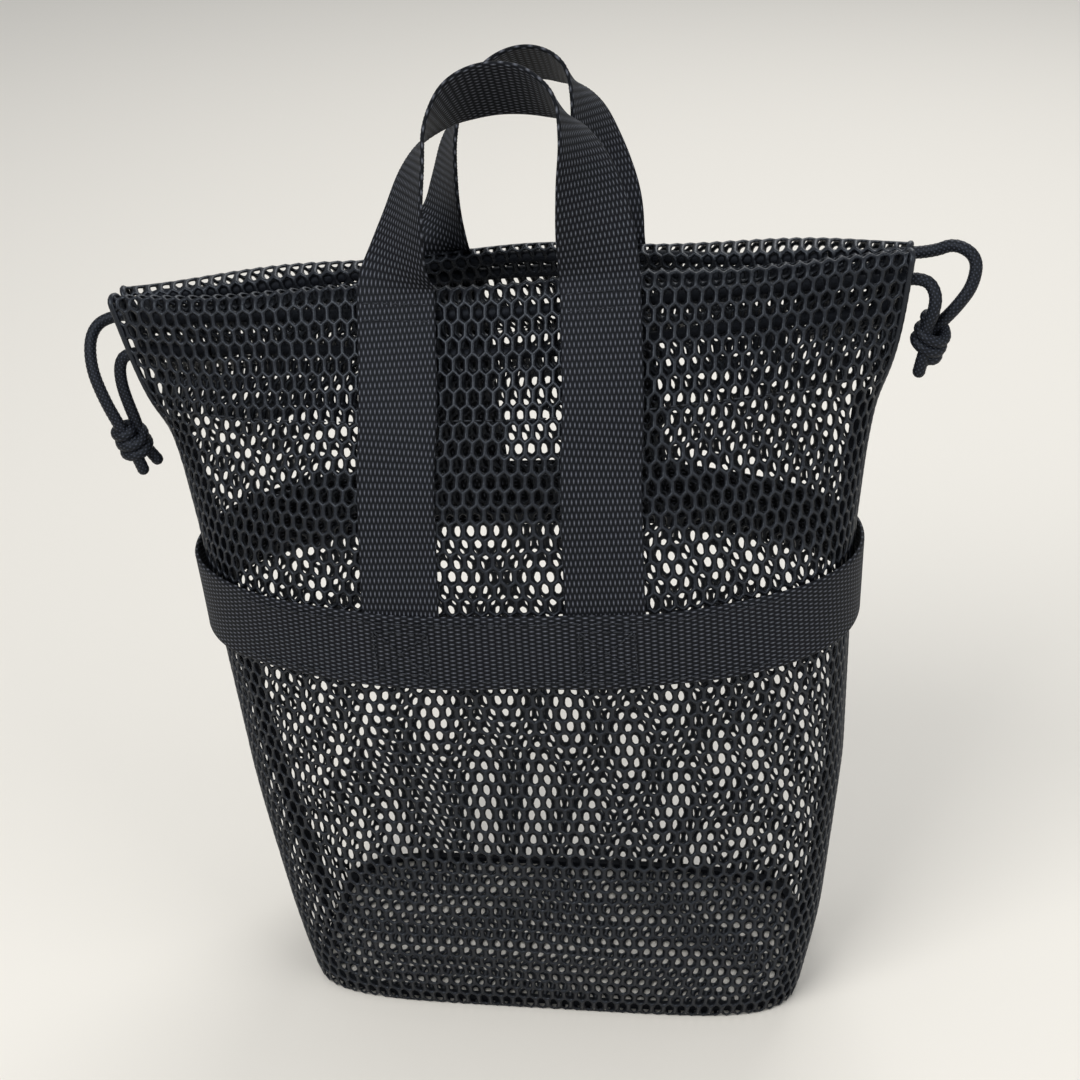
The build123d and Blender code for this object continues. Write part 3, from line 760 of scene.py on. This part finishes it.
class TOTE_OT_body_nets(bpy.types.Operator):
    """Knit the front and back of the bag, with their folded hems"""

    bl_idname = "tote.body_nets"
    bl_label = "Body nets"

    def execute(self, context):
        look = context.scene.mesh_tote.net
        columns = look.columns
        for side in SIDES:
            sheet = Sheet(side)
            rows = round(sheet.length / look.row_pitch)
            pitch = sheet.length / rows
            cells = []
            for j in range(rows):
                if j % 2:
                    cells += [(4 * i, 6 * j + 4) for i in range(columns + 1)]
                else:
                    cells += [(4 * i + 2, 6 * j + 4) for i in range(columns)]

            def place(x, y, off, sheet=sheet, pitch=pitch):
                u = np.clip(x / (4 * columns), 0, 1)
                q = np.clip(y * pitch / 6, 0.0002, sheet.length)
                return sheet.point(u, q, off - CLOTH_T / 2)

            verts, faces = net_mesh(cells, look.thickness / 2, place)
            piece = new_piece(f"{side}_net", verts, faces, net_yarn())
            face_outwards(piece)
            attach(piece, "bag")
            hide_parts(f"{side}_panel", f"{side}_hem_outer", f"{side}_hem_facing")

            steps = np.linspace(0.0008, sheet.length - 0.0002, 330)
            inside = np.full(len(steps), -CLOTH_T / 2)
            edges = [sheet.point(np.full(len(steps), u), steps, inside) for u in (0.0, 1.0)]
            rolled, _ = braided(f"{side}_net_edges", edges, ROLLED_EDGE_R, net_yarn(), step=0.0011, around=10,
                                round_ends=(True, True))
            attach(rolled, "bag")
        return {"FINISHED"}


class TOTE_OT_base_net(bpy.types.Operator):
    """Knit the flat bottom of the bag"""

    bl_idname = "tote.base_net"
    bl_label = "Base net"

    def execute(self, context):
        look = context.scene.mesh_tote.net
        low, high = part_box("base_panel")
        half_w, half_d = (high.x - low.x) / 2 - BASE_MARGIN, (high.y - low.y) / 2 - BASE_MARGIN
        power = STATIONS[0, 4]

        def share(x, y):
            return ((np.abs(x) / half_w) ** power + (np.abs(y) / half_d) ** power) ** (1 / power)

        unit_x, unit_y = look.spacing / 4, look.row_pitch / 6
        reach_x, reach_y = int(half_w / look.spacing) + 2, int(half_d / look.row_pitch) + 2
        cells = []
        for j in range(-reach_y, reach_y + 1):
            for i in range(-reach_x, reach_x + 1):
                cx, cy = 4 * i + 2 * (j % 2), 6 * j
                if share(cx * unit_x, cy * unit_y) < 0.985:
                    cells.append((cx, cy))

        def place(x, y, off):
            px, py = x * unit_x, y * unit_y
            shrink = np.maximum(share(px, py), 1.0)
            return np.stack([px / shrink, py / shrink, CLOTH_T / 2 + off], axis=-1)

        verts, faces = net_mesh(cells, look.thickness / 2, place)
        piece = new_piece("base_net", verts, faces, net_yarn())
        face_outwards(piece)
        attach(piece, "bag")
        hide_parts("base_panel")
        return {"FINISHED"}


def band_ring(p, off):
    """Points round the body at height p, off outside it."""
    share = np.linspace(0.0, 1.0, 120)
    rows = []
    for outline, order in ((Outline("front"), share), (Outline("back"), share[::-1])):
        height = np.full(len(order), p)
        x, y = outline.at(order, height)
        rows.append(placed(outline.side, x, y, height))
    ring = np.concatenate([rows[0], rows[1][1:]])
    ahead = np.roll(ring, -1, 0) - np.roll(ring, 1, 0)
    outward = unit(np.cross(ahead, (0.0, 0.0, 1.0)))
    return ring + outward * off


class TOTE_OT_girth_band(bpy.types.Operator):
    """Sew the webbing band round the bag"""

    bl_idname = "tote.girth_band"
    bl_label = "Girth band"

    def execute(self, context):
        look = context.scene.mesh_tote.webbing
        off = 2 * LAY_GAP + WEB_T * 1.5
        low, high = band_ring(BAND_LOW_Z, off), band_ring(BAND_HIGH_Z, off)
        line = (low + high) / 2
        piece = ribbon("girth_band", line, high - low, look.width, webbing_yarn(), closed=True)
        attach(piece, "bag")
        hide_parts("front_girth_band", "back_girth_band")
        return {"FINISHED"}


# Half a handle at a time, as rows: millimetres in from its foot along the rim, share of the rise,
# millimetres of lean back, and direction across the webbing (along the rim, back, up).
ARCHES = {
    "front": {
        "left": (
            (0.0, 0.0, 0.0, (1.0, 0.0, 0.0)),
            (1.0, 0.12, 0.3, (0.86, -0.50, 0.02)),
            (4.4, 0.35, 1.8, (0.64, -0.76, 0.08)),
            (8.6, 0.60, 4.6, (0.45, -0.84, 0.18)),
            (13.8, 0.80, 8.6, (0.26, -0.76, 0.52)),
            (22.4, 0.94, 13.0, (0.08, -0.66, 0.74)),
            (33.0, 0.99, 15.5, (0.0, -0.60, 0.80)),
        ),
        "right": (
            (19.0, 0.975, 14.6, (-0.03, -0.62, 0.78)),
            (8.8, 0.89, 10.5, (-0.12, -0.76, 0.62)),
            (3.6, 0.72, 6.4, (-0.36, -0.86, 0.30)),
            (1.2, 0.48, 2.6, (-0.72, -0.68, 0.10)),
            (0.2, 0.22, 0.5, (-0.94, -0.34, 0.03)),
            (0.0, 0.0, 0.0, (-1.0, 0.0, 0.0)),
        ),
    },
    "back": {
        "left": (
            (0.0, 0.0, 0.0, (1.0, 0.0, 0.0)),
            (3.2, 0.14, 0.8, (0.68, -0.73, 0.03)),
            (5.4, 0.36, 2.2, (0.46, -0.88, 0.06)),
            (8.5, 0.60, 4.6, (0.32, -0.91, 0.22)),
            (16.0, 0.82, 7.6, (0.15, -0.86, 0.46)),
            (26.5, 0.94, 9.8, (0.05, -0.80, 0.60)),
            (37.5, 0.965, 10.6, (0.0, -0.78, 0.62)),
        ),
        "right": (
            (9.0, 0.90, 9.4, (-0.06, -0.80, 0.58)),
            (3.2, 0.74, 6.4, (-0.30, -0.86, 0.36)),
            (0.6, 0.52, 3.4, (-0.56, -0.80, 0.16)),
            (-0.4, 0.30, 1.1, (-0.84, -0.54, 0.05)),
            (-0.4, 0.13, 0.3, (-0.97, -0.22, 0.02)),
            (0.0, 0.0, 0.0, (-1.0, 0.0, 0.0)),
        ),
    },
}
HANDLE_RISE = 0.057
HINGE_GAP = 0.0006
TUCK = 0.020  # length of each leg behind the band
LEG_HALF = 0.006  # half the span over which a leg's direction across is taken


def flowing(rows, steps=14):
    """More rows along the smooth curve through these rows."""
    rows = np.array(rows, float)
    ends = np.vstack([2 * rows[0] - rows[1], rows, 2 * rows[-1] - rows[-2]])
    share = np.linspace(0, 1, steps, endpoint=False)[:, None]
    curve = []
    for a, b, c, d in zip(ends, ends[1:], ends[2:], ends[3:]):
        curve.append(b + 0.5 * share * (c - a + share * (2 * a - 5 * b + 4 * c - d + share * (3 * (b - c) + d - a))))
    return np.vstack([*curve, rows[-1:]])


def handle_route(side):
    """Middles and across directions of a whole strap: up one leg, over the arch and down the other."""
    heights = np.concatenate([np.linspace(BAND_HIGH_Z - TUCK, BAND_HIGH_Z, 6)[:-1],
                              np.linspace(BAND_HIGH_Z, RIM_Z - 0.001, 26)])
    off = LAY_GAP + WEB_T / 2
    legs, arch = {}, []
    for end, x in STRAPS[side].items():
        points, _ = on_face(side, np.full(len(heights), x), heights, off)
        right, _ = on_face(side, np.full(len(heights), x + LEG_HALF), heights, off)
        left, _ = on_face(side, np.full(len(heights), x - LEG_HALF), heights, off)
        legs[end] = np.hstack([points, unit(right - left)])
        inward = 1 if end == "left" else -1
        foot_y = SIDES[side] * (float(depth_at(side, np.array(x), np.array(RIM_Z))) + off)
        for inset, rise, lean, (wx, wy, wz) in ARCHES[side][end]:
            spot = RIM_MIDDLE + RIM_X * (x + inward * inset * MM) + RIM_UP * (HINGE_GAP + HANDLE_RISE * rise)
            spot = spot + Vector((0, foot_y + lean * MM, 0))
            arch.append((*spot, *(RIM_X * wx + RIM_UP * wz + Vector((0, wy, 0))).normalized()))
    down = legs["right"][::-1].copy()
    down[:, 3:] *= -1
    rows = np.vstack([legs["left"], flowing(arch), down])
    return rows[:, :3], unit(rows[:, 3:])


def relaxed(rows, rounds):
    """A row of points with its small kinks taken out."""
    rows = rows.copy()
    for _ in range(rounds):
        rows[1:-1] = rows[1:-1] * 0.5 + (rows[:-2] + rows[2:]) * 0.25
    return rows


class TOTE_OT_handles(bpy.types.Operator):
    """Weave both carry handles with their sewn legs"""

    bl_idname = "tote.handles"
    bl_label = "Handles"

    def execute(self, context):
        look = context.scene.mesh_tote.webbing
        for side in SIDES:
            middles, sides = handle_route(side)
            _, line, across = even(middles, 0.0015, sides)
            line, across = relaxed(line, 3), unit(relaxed(across, 6))
            piece = ribbon(f"{side}_handle_webbing", line, across, look.width, webbing_yarn())
            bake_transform(piece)
            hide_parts(f"{side}_handle", f"{side}_left_strap", f"{side}_right_strap")
        return {"FINISHED"}


BAND_MARGIN, BAND_SEAM_HALF = 0.0028, 0.085
BOX_SIDE_MARGIN, BOX_END_MARGIN = 0.004, 0.0055
TOP_SIDE_MARGIN, TOP_DROPS = 0.0015, (0.0045, 0.009)
HEM_SEAM_UP, HEM_SEAM_HALF = 0.002, 0.105


def row_along(side, x0, x1, p0, p1, off, count=40):
    """A straight seam line on a face."""
    return on_face(side, np.linspace(x0, x1, count), np.linspace(p0, p1, count), off)


class TOTE_OT_stitching(bpy.types.Operator):
    """Sew the band, the strap boxes, the strap tops and the hem"""

    bl_idname = "tote.stitching"
    bl_label = "Stitching"

    def execute(self, context):
        thread = sewing_thread()
        on_net = 0.0001
        on_strap = LAY_GAP + WEB_T + on_net
        on_band = 2 * LAY_GAP + 2 * WEB_T + on_net
        half = context.scene.mesh_tote.webbing.width / 2
        for side in SIDES:
            band, boxes, tops, hem = [], [], [], []
            for p in (BAND_LOW_Z + BAND_MARGIN, BAND_HIGH_Z - BAND_MARGIN):
                band.append(row_along(side, -BAND_SEAM_HALF, BAND_SEAM_HALF, p, p, on_band, 120))
            for middle in STRAPS[side].values():
                x0, x1 = middle - half + BOX_SIDE_MARGIN, middle + half - BOX_SIDE_MARGIN
                p0, p1 = BAND_LOW_Z + BOX_END_MARGIN, BAND_HIGH_Z - BOX_END_MARGIN
                boxes += [row_along(side, x0, x1, p, p, on_band) for p in (p0, p1)]
                boxes += [row_along(side, x, x, p0, p1, on_band) for x in (x0, x1)]
                boxes += [row_along(side, x0, x1, a, b, on_band) for a, b in ((p0, p1), (p1, p0))]
                reach = half - TOP_SIDE_MARGIN
                for p in (RIM_Z - drop for drop in TOP_DROPS):
                    tops.append(row_along(side, middle - reach, middle + reach, p, p, on_strap))
            p = RIM_Z - HEM_H + HEM_SEAM_UP
            clear = half + 0.001
            left, right = STRAPS[side].values()
            stops = (-HEM_SEAM_HALF, left - clear, left + clear, right - clear, right + clear, HEM_SEAM_HALF)
            for x0, x1 in zip(stops[::2], stops[1::2]):
                hem.append(row_along(side, x0, x1, p, p, on_net, 90))
            for name, rows in (("band", band), ("strap_box", boxes), ("strap_rim", tops), ("hem", hem)):
                piece = stitches(f"{side}_{name}_stitches", rows, thread)
                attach(piece, "bag")
                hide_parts(f"{side}_{name}_stitching")
        return {"FINISHED"}


# The routes of the free strands, from the hem through the knot to the end of the tail.
STRANDS = {
    "left_back": (
        (-0.13707, 0.0048, 0.23329), (-0.1458, 0.0045, 0.2326), (-0.1510, 0.0005, 0.2280),
        (-0.1502, -0.0050, 0.2185), (-0.1456, -0.0088, 0.2085), (-0.1405, -0.0098, 0.1985),
        (-0.1380, -0.0106, 0.1935), (-0.1352, -0.0110, 0.1880), (-0.1336, -0.0112, 0.1832),
    ),
    "left_front": (
        (-0.13353, -0.0048, 0.22353), (-0.1380, -0.0045, 0.22315), (-0.1404, -0.0051, 0.2194),
        (-0.1402, -0.0058, 0.2130), (-0.1384, -0.0062, 0.2060), (-0.1364, -0.0062, 0.1995),
        (-0.1355, -0.0062, 0.1925), (-0.1320, -0.0062, 0.1885), (-0.1294, -0.0066, 0.1852),
    ),
    "right_back": (
        (0.1118, 0.0048, 0.25889), (0.1189, 0.0045, 0.25945), (0.1255, 0.0030, 0.2630),
        (0.1324, 0.0002, 0.2595), (0.1314, -0.0024, 0.2515), (0.1268, -0.0040, 0.2450),
        (0.1220, -0.0040, 0.2395), (0.1175, -0.0046, 0.2345), (0.1174, -0.0044, 0.2290),
        (0.1179, -0.0042, 0.2250),
    ),
    "right_front": (
        (0.11083, -0.0048, 0.2538), (0.1168, -0.0045, 0.2543), (0.1202, -0.0072, 0.2502),
        (0.1196, -0.0088, 0.2446), (0.1174, -0.0086, 0.2390), (0.1182, -0.0090, 0.2345),
        (0.1166, -0.0096, 0.2290), (0.1156, -0.0098, 0.2236),
    ),
}
# From the hem to the end of the tail, with the part inside the knot.
# Middle, axis and starting turn of each knot.
KNOTS = {
    "left": (Vector((-0.1375, -0.0080, 0.1940)), Vector((0.35, 0.0, -0.94)), 0.4),
    "right": (Vector((0.1190, -0.0065, 0.2355)), Vector((-0.30, 0.0, -0.95)), 2.2),
}


KNOT_WRAPS = 1.9
KNOT_RISE = 0.0072
KNOT_R = 0.0041
KNOT_TILT = 0.42


def knot_line(middle, axis, start_turn, phase):
    """One cord's line through the wraps of the knot, with both ends tucked in."""
    axis = axis.normalized()
    side = axis.cross(Vector((0, 1, 0))).normalized()
    up = axis.cross(side)
    count = 110
    points = []
    for step in range(count + 1):
        share = step / count
        angle = start_turn + 2 * math.pi * KNOT_WRAPS * share
        tuck = min(1.0, 6 * share, 6 * (1 - share))
        r = KNOT_R * (0.3 + 0.7 * math.sin(tuck * math.pi / 2))
        along = (share - 0.5) * KNOT_RISE + phase + KNOT_TILT * r * math.sin(angle + 0.6)
        points.append(tuple(middle + axis * along + side * math.cos(angle) * r + up * math.sin(angle) * r * 0.9))
    return np.array(points)


class TOTE_OT_drawcords(bpy.types.Operator):
    """Braid the free strands of both drawcords and tie their knots"""

    bl_idname = "tote.drawcords"
    bl_label = "Drawcords"

    def execute(self, context):
        diameter = context.scene.mesh_tote.cord.diameter
        for end, (middle, axis, turn) in KNOTS.items():
            body = f"{end}_drawcord"
            lines = [knot_line(middle, axis, turn, phase) for phase in (-diameter * 0.42, diameter * 0.42)]
            knot, _ = braided(f"{end}_knot", lines, diameter * 0.47, cord_braid(), around=22, round_ends=(True, True))
            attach(knot, body)
            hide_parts(f"{body}_knot")
            for side in SIDES:
                route = STRANDS[f"{end}_{side}"]
                line = path_line(route)
                name = f"{end}_{side}_cord"
                piece, middles = braided(name, [line], diameter / 2, cord_braid())
                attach(piece, body)
                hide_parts(f"{body}_{side}_strand")
                if side == "front":
                    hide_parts(f"{body}_tails")
                [tuple(p) for p in middles]
        return {"FINISHED"}


class TOTE_OT_inner_finishes(bpy.types.Operator):
    """Give the seams and the cords inside the hem their own finishes"""

    bl_idname = "tote.inner_finishes"
    bl_label = "Seams and hidden cords"

    def execute(self, context):
        for name, node in frame["nodes"].items():
            if "seam" in name:
                finish = binding_tape()
            elif "channel_run" in name or "stubs" in name:
                finish = plain_cord()
            else:
                continue
            node.data.materials.clear()
            node.data.materials.append(finish)
        return {"FINISHED"}


EYE = Vector((0.0858, -0.6754, 0.4942))
YAW = math.radians(7.63)
PITCH = math.radians(26.24)
ROLL = math.radians(-1.49)
LENS = 76.33
FLOOR_REACH = 6.0
SKY = (0.93, 0.96, 1.0, 1.0)
SKY_STRENGTH = 0.46
LIGHTS_AIM = Vector((-0.01, 0, 0.13))
# Name, place, width and share of the key light's power.
LAMPS = (
    ("key", (-0.55, -0.9, 1.25), 0.8, 1.0),
    ("fill", (1.1, -0.7, 0.8), 1.1, 0.45),
    ("rim", (0.2, 1.1, 1.2), 0.9, 0.6),
)


class TOTE_OT_stage(bpy.types.Operator):
    """Lay the floor and set the lights and the camera"""

    bl_idname = "tote.stage"
    bl_label = "Stage"

    def execute(self, context):
        look = context.scene.mesh_tote.stage
        scene = context.scene
        corners = [(x * FLOOR_REACH, y * FLOOR_REACH, 0) for x, y in ((-1, -1), (1, -1), (1, 1), (-1, 1))]
        paint = bpy.data.materials.new("pale_floor")
        paint.use_nodes = True
        shader = paint.node_tree.nodes["Principled BSDF"]
        shader.inputs["Base Color"].default_value = (*look.floor, 1.0)
        shader.inputs["Roughness"].default_value = 0.7
        floor = new_piece("floor", corners, [(0, 1, 2, 3)], paint)

        forward = Vector((-math.sin(YAW) * math.cos(PITCH), math.cos(YAW) * math.cos(PITCH), -math.sin(PITCH)))
        level = Vector((math.cos(YAW), math.sin(YAW), 0))
        up = level.cross(forward)
        right = level * math.cos(ROLL) + up * math.sin(ROLL)
        above = up * math.cos(ROLL) - level * math.sin(ROLL)
        camera = bpy.data.objects.new("camera", bpy.data.cameras.new("camera"))
        camera.data.lens = LENS
        camera.data.sensor_width = 36.0
        camera.matrix_world = Matrix.Translation(EYE) @ Matrix((right, above, -forward)).transposed().to_4x4()
        scene.collection.objects.link(camera)
        scene.camera = camera

        world = bpy.data.worlds.new("studio")
        world.use_nodes = True
        background = world.node_tree.nodes["Background"]
        background.inputs["Color"].default_value = SKY
        background.inputs["Strength"].default_value = SKY_STRENGTH
        scene.world = world
        for name, place, width, share in LAMPS:
            lamp = bpy.data.lights.new(name, "AREA")
            lamp.size = width
            lamp.energy = look.key * share
            holder = bpy.data.objects.new(name, lamp)
            holder.location = place
            holder.rotation_euler = (LIGHTS_AIM - Vector(place)).to_track_quat("-Z", "Y").to_euler()
            scene.collection.objects.link(holder)
        scene.view_settings.view_transform = "Standard"
        return {"FINISHED"}


OPERATORS = (
    TOTE_OT_body_nets,
    TOTE_OT_base_net,
    TOTE_OT_girth_band,
    TOTE_OT_handles,
    TOTE_OT_stitching,
    TOTE_OT_drawcords,
    TOTE_OT_inner_finishes,
    TOTE_OT_stage,
)


class TOTE_PT_panel(bpy.types.Panel):
    """Lists the steps that build the bag"""

    bl_idname = "TOTE_PT_panel"
    bl_label = "Mesh Tote"
    bl_space_type = "VIEW_3D"
    bl_region_type = "UI"
    bl_category = "Mesh Tote"

    def draw(self, context):
        for operator in OPERATORS:
            self.layout.operator(operator.bl_idname)
        for group in ("net", "webbing", "cord", "stage"):
            settings = getattr(context.scene.mesh_tote, group)
            for name in settings.bl_rna.properties.keys():
                if name not in ("rna_type", "name"):
                    self.layout.prop(settings, name)


CLASSES = (NetSettings, WebbingSettings, CordSettings, StageSettings, ToteSettings, *OPERATORS, TOTE_PT_panel)


def register():
    for item in CLASSES:
        bpy.utils.register_class(item)
    bpy.types.Scene.mesh_tote = bpy.props.PointerProperty(type=ToteSettings)


def unregister():
    del bpy.types.Scene.mesh_tote
    for item in reversed(CLASSES):
        bpy.utils.unregister_class(item)


def main():
    register()
    for operator in OPERATORS:
        group, name = operator.bl_idname.split(".")
        getattr(getattr(bpy.ops, group), name)()
    bpy.context.view_layer.update()


if __name__ == "__main__":
    main()
